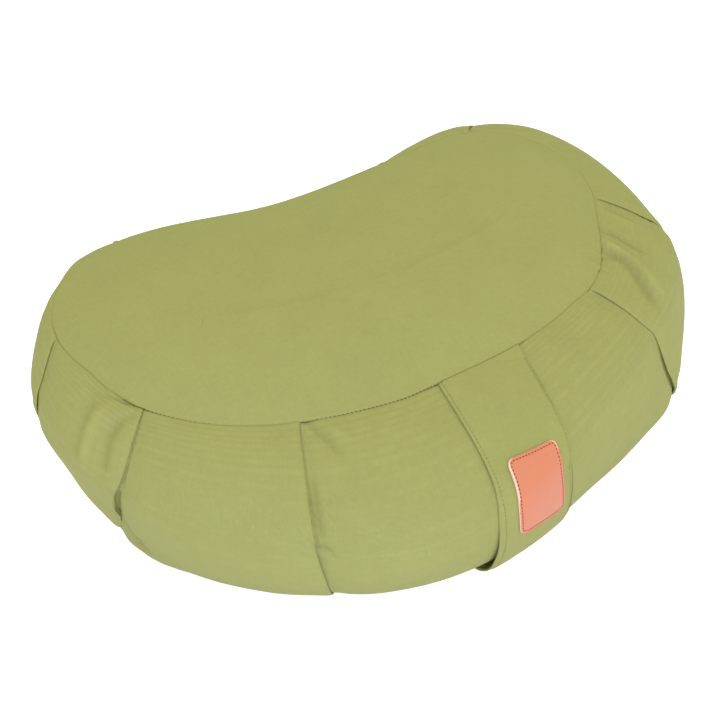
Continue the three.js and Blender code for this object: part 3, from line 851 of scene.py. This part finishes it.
class SideBand(bpy.types.Operator):
    """Build the pleated side band with its filling"""

    bl_idname = "cushion.side_band"
    bl_label = "Side band"

    def execute(self, context):
        settings = context.scene.cushion_cloth
        piece = finished(merged_copy("filled_side_band", "side_band_cloth"), [subdivision(2)])
        points = points_of(piece)
        along, down = places_on_band(points)
        from_seam = np.linalg.norm(points - band_form(along, 0.0), axis=1) / MM
        gathers = settings.pucker * pucker(along) * hill(from_seam, PUCKER_FADE["band"])
        gathers = gathers * smooth_step(0, PUCKER_START, down)
        waves = np.sin(points * BAND_WAVE["turns"] + BAND_WAVE["starts"]).prod(1) * BAND_WAVE["height"]
        folds = crease_heights(piece, CREASES)
        steps, dark = pleat_steps(along, down)
        raise_surface(piece, folds + crease_heights(piece, SWELLS) + steps + gathers + waves)
        # Painted shade and light for the cloth's colour: the creases' heights, dark in hollows and light on
        # ridges, less the shade painted beside the pleats' edges
        painted_shade_depth = (folds - dark).astype(np.float32)
        piece.data.attributes.new("fold", "FLOAT", "POINT").data.foreach_set("value", painted_shade_depth)
        set_uv(piece, along * MM, down * BAND_DROP, SEAM.length * MM)
        shade_smooth(piece)
        dress(piece, cotton())
        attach(piece, "root")
        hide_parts("filled_side_band")
        return {"FINISHED"}


class TopPanel(bpy.types.Operator):
    """Build the top panel of cloth"""

    bl_idname = "cushion.top_panel"
    bl_label = "Top panel"

    def execute(self, context):
        settings = context.scene.cushion_cloth
        piece = finished(merged_copy("top_panel", "top_panel_cloth"), [subdivision(2)])
        points = points_of(piece)
        alongs = np.arange(0, SEAM.length, 0.25)
        tree = nearest_tree(band_form(alongs, 0.0))
        found = [tree.find(point) for point in points]
        nearest = [row[1] for row in found]
        inside = np.array([row[2] for row in found]) / MM
        out = SEAM.at(alongs)[1][nearest]
        rim = settings.rim_reach * (1 - smooth_step(*RIM_FADE, inside))
        points[:, :2] += out * (rim * MM)[:, None]
        move_points(piece, points)
        slid = alongs[nearest] + PANEL_PUCKER["slide"]
        gathers = PANEL_PUCKER["share"] * settings.pucker * pucker(slid) * hill(inside, PUCKER_FADE["panel"])
        ridge = settings.rim_ridge * across_ridge(PANEL_RIDGE, inside)
        x, y = points[:, 0], points[:, 1]
        waves = np.sin(x * 38 + 3 * np.sin(y * 22)) * np.sin(y * 47 + 1)
        raise_surface(piece, gathers + ridge + PANEL_WAVE * waves)
        set_uv(piece, x, y)
        shade_smooth(piece)
        dress(piece, cotton())
        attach(piece, "root")
        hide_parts("top_panel")
        return {"FINISHED"}


class BasePanel(bpy.types.Operator):
    """Build the base panel of cloth"""

    bl_idname = "cushion.base_panel"
    bl_label = "Base panel"

    def execute(self, context):
        piece = finished(merged_copy("base_panel", "base_panel_cloth"), [subdivision(1)])
        points = points_of(piece)
        points[:, 2] = np.maximum(points[:, 2], 0)
        move_points(piece, points)
        set_uv(piece, points[:, 0], points[:, 1])
        shade_smooth(piece)
        dress(piece, cotton())
        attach(piece, "root")
        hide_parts("base_panel")
        return {"FINISHED"}


class CarryStrap(bpy.types.Operator):
    """Build the carry strap of doubled cloth"""

    bl_idname = "cushion.carry_strap"
    bl_label = "Carry strap"

    def execute(self, context):
        settings = context.scene.cushion_strap
        shape = [bevel(0.0007, 2), subdivision(3)]
        piece = finished(merged_copy("carry_strap", "carry_strap_cloth"), shape)
        points = points_of(piece)
        downs, middle, facing = strap_middle(piece, 80)
        nearest = np.linalg.norm(points[:, None] - middle[None], axis=2).argmin(1)
        down, outward = downs[nearest], facing[nearest]
        _, length, offset, tangent, _ = nearest_on_path(points, middle)
        across = dot(offset, unit(np.cross(tangent, outward)))
        half = STRAP["width"] / 2 * MM
        from_edge = half / MM - np.abs(across) / MM
        outer = dot(normals_of(piece), outward) > 0.3
        hugging = smooth_step(*HUG_COMES, down) * (1 - smooth_step(*HUG_GOES, down)) * (across > 0)
        rolled = settings.edge_roll * (1 - smooth_step(0, STRAP_REACH["roll"], from_edge))
        hugged = settings.hug * hugging * (1 - smooth_step(0, STRAP_REACH["hug"], from_edge))
        drop = rolled * np.where(outer, 1, INNER_ROLL) + hugged
        move_points(piece, points - outward * (drop * MM)[:, None])
        from_row = (np.abs(across) - (half - settings.stitch_inset)) / MM
        sewn = across_ridge(STRAP_GROOVE, from_row) + across_ridge(STRAP_RIDGE, from_row)
        slack = STRAP_SLACK * np.sin(length * 60 + across * 35 + 1) * np.sin(across * 70 + 0.6)
        raise_surface(piece, np.where(outer, sewn + slack, 0))
        set_uv(piece, across, length)
        shade_smooth(piece)
        dress(piece, cotton())
        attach(piece, "root")
        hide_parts("carry_strap")
        return {"FINISHED"}


class Patch(bpy.types.Operator):
    """Build the leather patch with its pressed line and pale cut edge"""

    bl_idname = "cushion.patch"
    bl_label = "Patch"

    def execute(self, context):
        settings = context.scene.cushion_patch
        rim, _, facing = patch_rim()
        outward = facing.mean(0)
        piece = merged_copy("patch", "leather_patch")
        turned = np.array([abs(polygon.normal @ Vector(outward)) for polygon in piece.data.polygons])
        leather = leather_material("coral leather", settings.color)
        cut_edge = edge_material("cut edge", settings.edge_color)
        dress(piece, leather, cut_edge)
        piece.data.polygons.foreach_set("material_index", (turned < OUTER_FACE).astype(np.int32))
        finished(piece, [bevel(0.0002, 1, material=1), subdivision(3)])
        for polygon in piece.data.polygons:
            lean = polygon.normal.x * settings.pale_side[0] + polygon.normal.z * settings.pale_side[1]
            if lean < PALE_LEAN and polygon.normal @ Vector(outward) > 0:
                polygon.material_index = 0
        points = points_of(piece)
        inside = nearest_on_path(points, np.vstack([rim, rim[:1]]))[0] / MM
        line = across_ridge(PATCH_GROOVE, inside - settings.stitch_inset / MM)
        rounded = PATCH_RIM.height * np.exp(-inside / PATCH_RIM.width)
        outer = normals_of(piece) @ outward > OUTER_FACE
        raise_surface(piece, np.where(outer, line + rounded, 0))
        set_uv(piece, points[:, 0], points[:, 2])
        shade_smooth(piece)
        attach(piece, "root")
        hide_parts("patch")
        return {"FINISHED"}


def patch_rim():
    """Points round the patch's outer face, with the directions inwards and outwards at each of them."""
    work = merged_solid("patch")
    work.normal_update()
    down = np.array([PATCH_DOWN])
    outward = Vector(band_normal(line_at(STRAP["line"], down), down)[0])
    faced = {face for face in work.faces if face.normal @ outward > OUTER_FACE}
    rim = {edge for edge in work.edges if sum(face in faced for face in edge.link_faces) == 1}
    first = next(edge for edge in work.edges if edge in rim)
    edge, vert = first, first.verts[0]
    points = []
    while not points or edge != first:
        points.append(list(vert.co))
        vert = edge.other_vert(vert)
        edge = next(other for other in vert.link_edges if other in rim and other != edge)
    work.free()
    points = np.array(points)
    normals = band_normal(*places_on_band(points))
    inwards = unit(np.cross(normals, np.roll(points, -1, 0) - np.roll(points, 1, 0)))
    inwards *= np.sign(np.sum(inwards * (points.mean(0) - points)))
    return points, inwards, normals


class SeamStitches(bpy.types.Operator):
    """Sew the top seam and the base seam"""

    bl_idname = "cushion.seam_stitches"
    bl_label = "Seam stitches"

    def execute(self, context):
        settings = context.scene.cushion_stitches
        # The seams' thread is real, but darkened well below the cloth as painted shade of the needle holes
        # and the seam's groove
        thread = thread_material("dark olive thread", settings.seam_thread_and_shade_color)
        alongs = np.arange(0, SEAM.length, 2.0)
        seam = band_form(alongs, 0.0)
        out = SEAM.at(alongs)[1]
        from_shown = np.abs(shorter_way(alongs - settings.shown_middle))
        sunk = smooth_step(settings.shown_reach - SUNK_FADE, settings.shown_reach + SUNK_FADE, from_shown)
        seam[:, :2] += out * (TOP_THREAD["out"] - SUNK_THREAD["in"] * sunk)[:, None]
        seam[:, 2] -= TOP_THREAD["down"] + SUNK_THREAD["down"] * sunk
        size = stitch_size(settings, "seam")
        top = stitches("top_seam_stitches", [seam], True, size, thread)
        foot = band_form(alongs, 2.0)
        foot[:, :2] -= out * BASE_THREAD["in"]
        foot[:, 2] += BASE_THREAD["up"]
        wider = {**size, "Pitch": settings.pitch * BASE_PITCH}
        base = stitches("base_seam_stitches", [foot], True, wider, thread)
        for piece in (top, base):
            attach(piece, "root")
        return {"FINISHED"}


class StrapStitches(bpy.types.Operator):
    """Sew the strap's two edges"""

    bl_idname = "cushion.strap_stitches"
    bl_label = "Strap stitches"

    def execute(self, context):
        settings = context.scene.cushion_stitches
        strap = bpy.data.objects["carry_strap_cloth"]
        inset = context.scene.cushion_strap.stitch_inset
        thread = thread_material("olive thread", settings.color)
        _, middle, normals = strap_middle(strap, 120)
        aside = unit(np.cross(np.gradient(middle, axis=0), normals))
        paths = []
        for side in (-1, 1):
            guide = middle + aside * side * (STRAP["width"] / 2 * MM - inset)
            path, facing = onto(surface_of(strap), guide, normals, 0.02)
            paths.append(path[2:-2] + facing[2:-2] * THREAD_OUT["strap"])
        piece = stitches("strap_stitches", paths, False, stitch_size(settings, "strap"), thread)
        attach(piece, "root")
        return {"FINISHED"}


class PatchStitches(bpy.types.Operator):
    """Sew the patch on, just inside its edge"""

    bl_idname = "cushion.patch_stitches"
    bl_label = "Patch stitches"

    def execute(self, context):
        settings = context.scene.cushion_patch
        thread = thread_material("brick thread", settings.thread_color)
        rim, inwards, normals = patch_rim()
        guide = rim + inwards * settings.stitch_inset
        guide = np.vstack([guide, guide[:1]])
        normals = np.vstack([normals, normals[:1]])
        walked = walked_lengths(guide)
        even = np.arange(0, walked[-1], MM)
        guide, normals = (
            np.column_stack([np.interp(even, walked, column) for column in rows.T])
            for rows in (guide, normals))
        path, facing = onto(surface_of(bpy.data.objects["leather_patch"]), guide, normals, 0.01)
        path += facing * THREAD_OUT["patch"]
        piece = stitches("patch_stitches", [path], True, stitch_size(settings, "patch"), thread)
        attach(piece, "root")
        return {"FINISHED"}


class Stage(bpy.types.Operator):
    """Set the camera, the soft lights and the pale floor"""

    bl_idname = "cushion.stage"
    bl_label = "Stage"

    def execute(self, context):
        scene = context.scene
        settings = scene.cushion_stage
        add_camera(scene)
        mesh = bpy.data.meshes.new("floor")
        corners = [(x * FLOOR_REACH, y * FLOOR_REACH, 0) for x, y in ((-1, -1), (1, -1), (1, 1), (-1, 1))]
        mesh.from_pydata(corners, [], [(0, 1, 2, 3)])
        floor = new_object("floor", mesh)
        material, nodes = new_material("pale floor")
        camera_ray = nodes.add("ShaderNodeLightPath").outputs["Is Camera Ray"]
        lift = nodes.math("MULTIPLY", camera_ray, settings.floor_lift)
        glow = nodes.math("ADD", lift, settings.floor_glow)
        surface(nodes, {
            "Base Color": (0.9, 0.9, 0.9, 1), "Roughness": 0.9, "Emission Color": (1, 1, 1, 1),
            "Emission Strength": glow})
        dress(floor, material)
        for name, (place, size, color) in LIGHTS.items():
            add_light(name, place, size, getattr(settings, name), color)
        world = bpy.data.worlds.new("pale room")
        world.use_nodes = True
        background = world.node_tree.nodes["Background"]
        background.inputs["Color"].default_value = ROOM_COLOR
        background.inputs["Strength"].default_value = settings.room
        scene.world = world
        scene.view_settings.view_transform = "Standard"
        return {"FINISHED"}


def add_camera(scene):
    azimuth, elevation = (math.radians(CAMERA[key]) for key in ("azimuth", "elevation"))
    level = math.cos(elevation)
    back = Vector((math.sin(azimuth) * level, -math.cos(azimuth) * level, math.sin(elevation)))
    data = bpy.data.cameras.new("camera")
    data.sensor_width = LENS["sensor_mm"]
    data.lens = LENS["focal_px"] * LENS["sensor_mm"] / LENS["frame_px"]
    middle = LENS["frame_px"] / 2
    data.shift_x = (middle - LENS["centre_px"][0]) / LENS["frame_px"]
    data.shift_y = (LENS["centre_px"][1] - middle) / LENS["frame_px"]
    data.clip_start = 0.05
    camera = bpy.data.objects.new("camera", data)
    scene.collection.objects.link(camera)
    camera.location = Vector(CAMERA["target"]) + back * CAMERA["distance"]
    camera.rotation_euler = back.to_track_quat("Z", "Y").to_euler()
    scene.camera = camera


def add_light(name, place, size, power, color):
    data = bpy.data.lights.new(name, "AREA")
    data.shape = "DISK"
    data.size = size
    data.energy = power
    data.color = color
    light = bpy.data.objects.new(name, data)
    bpy.context.scene.collection.objects.link(light)
    light.location = place
    light.rotation_euler = (Vector(place) - Vector(LIGHTS_AIM)).to_track_quat("Z", "Y").to_euler()


# Settings, panel and registration

COLOR = {"subtype": "COLOR", "size": 3, "min": 0, "max": 1}
LENGTH = {"subtype": "DISTANCE", "unit": "LENGTH"}


class ClothSettings(bpy.types.PropertyGroup):
    color: FloatVectorProperty(
        name="Cloth colour", description="Colour of the dyed cotton", default=(0.35, 0.36, 0.094), **COLOR)
    threads: FloatProperty(
        name="Threads per metre", description="How close the threads of the weave lie", default=2000,
        min=500, max=5000)
    mottle: FloatProperty(
        name="Mottle", description="How uneven the dye is", subtype="FACTOR", default=0.025, min=0, max=0.2)
    pucker: FloatProperty(
        name="Pucker", description="How strong the gathers along the top seam are", default=1.0, min=0, max=3)
    rim_reach: FloatProperty(
        name="Rim reach", description="How far in millimetres the top panel's rim runs on into the seam",
        default=0.95, min=0, max=1.5)
    rim_ridge: FloatProperty(
        name="Rim ridge", description="Height in millimetres of the ridge along the top panel's rim",
        default=0.15, min=0, max=1)


class StitchSettings(bpy.types.PropertyGroup):
    color: FloatVectorProperty(
        name="Thread colour", description="Colour of the strap's thread", default=(0.29, 0.3, 0.08), **COLOR)
    # Real thread colour darkened as painted shade of the needle holes in the seams
    seam_thread_and_shade_color: FloatVectorProperty(
        name="Seam thread and shade colour", description="Colour of the seams' thread, darkened as painted shade of the needle holes",
        default=(0.14, 0.145, 0.035), **COLOR)
    shown_middle: FloatProperty(
        name="Shown middle", default=-106,
        description="Middle of the stitches that lie high in the seam, in millimetres along it")
    shown_reach: FloatProperty(
        name="Shown reach", description="How far in millimetres those stitches run to either side",
        default=100, min=0)
    pitch: FloatProperty(
        name="Pitch", description="Distance from one stitch to the next", default=0.0027,
        min=0.001, max=0.02, **LENGTH)
    thickness: FloatProperty(
        name="Thread thickness", description="Thickness of the thread", default=0.0006,
        min=0.0001, max=0.003, **LENGTH)


class StrapSettings(bpy.types.PropertyGroup):
    stitch_inset: FloatProperty(
        name="Stitch inset", description="How far the strap's stitches lie from its edges", default=0.003,
        min=0.001, max=0.02, **LENGTH)
    edge_roll: FloatProperty(
        name="Edge roll", description="How far in millimetres the strap's edges roll down to the band",
        default=1.1, min=0, max=2)
    hug: FloatProperty(
        name="Hug", description="How far in millimetres the left edge lies down again below the widest line",
        default=1.6, min=0, max=3)


class PatchSettings(bpy.types.PropertyGroup):
    color: FloatVectorProperty(
        name="Leather colour", description="Colour of the patch", default=(0.69, 0.22, 0.098), **COLOR)
    edge_color: FloatVectorProperty(
        name="Cut edge colour", description="Colour of the leather's cut edge",
        default=(0.85, 0.62, 0.42), **COLOR)
    pale_side: FloatVectorProperty(
        name="Pale side", description="Direction across and up in which the slanted cut edge shows",
        size=2, default=(-1.0, 0.55), min=-1, max=1)
    thread_color: FloatVectorProperty(
        name="Patch thread colour", description="Colour of the patch's thread",
        default=(0.28, 0.05, 0.02), **COLOR)
    stitch_inset: FloatProperty(
        name="Patch stitch inset", description="How far the stitches lie from the patch's edge",
        default=0.002, min=0.001, max=0.01, **LENGTH)
    pitch: FloatProperty(
        name="Patch pitch", description="Distance from one stitch of the patch to the next",
        default=0.0024, min=0.001, max=0.02, **LENGTH)
    thickness: FloatProperty(
        name="Patch thread thickness", description="Thickness of the patch's thread", default=0.0007,
        min=0.0001, max=0.003, **LENGTH)


class StageSettings(bpy.types.PropertyGroup):
    key: FloatProperty(
        name="Key light", description="Power of the large front light", unit="POWER", default=42, min=0)
    top: FloatProperty(
        name="Top light", description="Power of the large light above", unit="POWER", default=4, min=0)
    fill: FloatProperty(
        name="Fill light", description="Power of the light at the right", unit="POWER", default=2, min=0)
    room: FloatProperty(
        name="Room light", description="Strength of the light from all around", default=0.85, min=0)
    floor_glow: FloatProperty(
        name="Floor glow", description="How much the pale floor shines", default=0.16, min=0)
    floor_lift: FloatProperty(
        name="Floor lift", description="How much paler the floor looks than it lights the cushion",
        default=0.45, min=0)


SETTINGS = {
    "cushion_cloth": ClothSettings,
    "cushion_stitches": StitchSettings,
    "cushion_strap": StrapSettings,
    "cushion_patch": PatchSettings,
    "cushion_stage": StageSettings,
}
STEPS = (SideBand, TopPanel, BasePanel, CarryStrap, Patch, SeamStitches, StrapStitches, PatchStitches, Stage)


class CushionPanel(bpy.types.Panel):
    """Lists the cushion's settings and its pieces"""

    bl_idname = "VIEW3D_PT_cushion"
    bl_label = "Crescent cushion"
    bl_space_type = "VIEW_3D"
    bl_region_type = "UI"
    bl_category = "Cushion"

    def draw(self, context):
        for name, kind in SETTINGS.items():
            box = self.layout.box()
            for prop in kind.__annotations__:
                box.prop(getattr(context.scene, name), prop)
        for step in STEPS:
            self.layout.operator(step.bl_idname)


def register():
    for kind in (*SETTINGS.values(), *STEPS, CushionPanel):
        bpy.utils.register_class(kind)
    for name, kind in SETTINGS.items():
        setattr(bpy.types.Scene, name, PointerProperty(type=kind))


def unregister():
    for name in SETTINGS:
        delattr(bpy.types.Scene, name)
    for kind in reversed((*SETTINGS.values(), *STEPS, CushionPanel)):
        bpy.utils.unregister_class(kind)


def main():
    register()
    for step in STEPS:
        group, name = step.bl_idname.split(".")
        getattr(getattr(bpy.ops, group), name)()


if __name__ == "__main__":
    main()
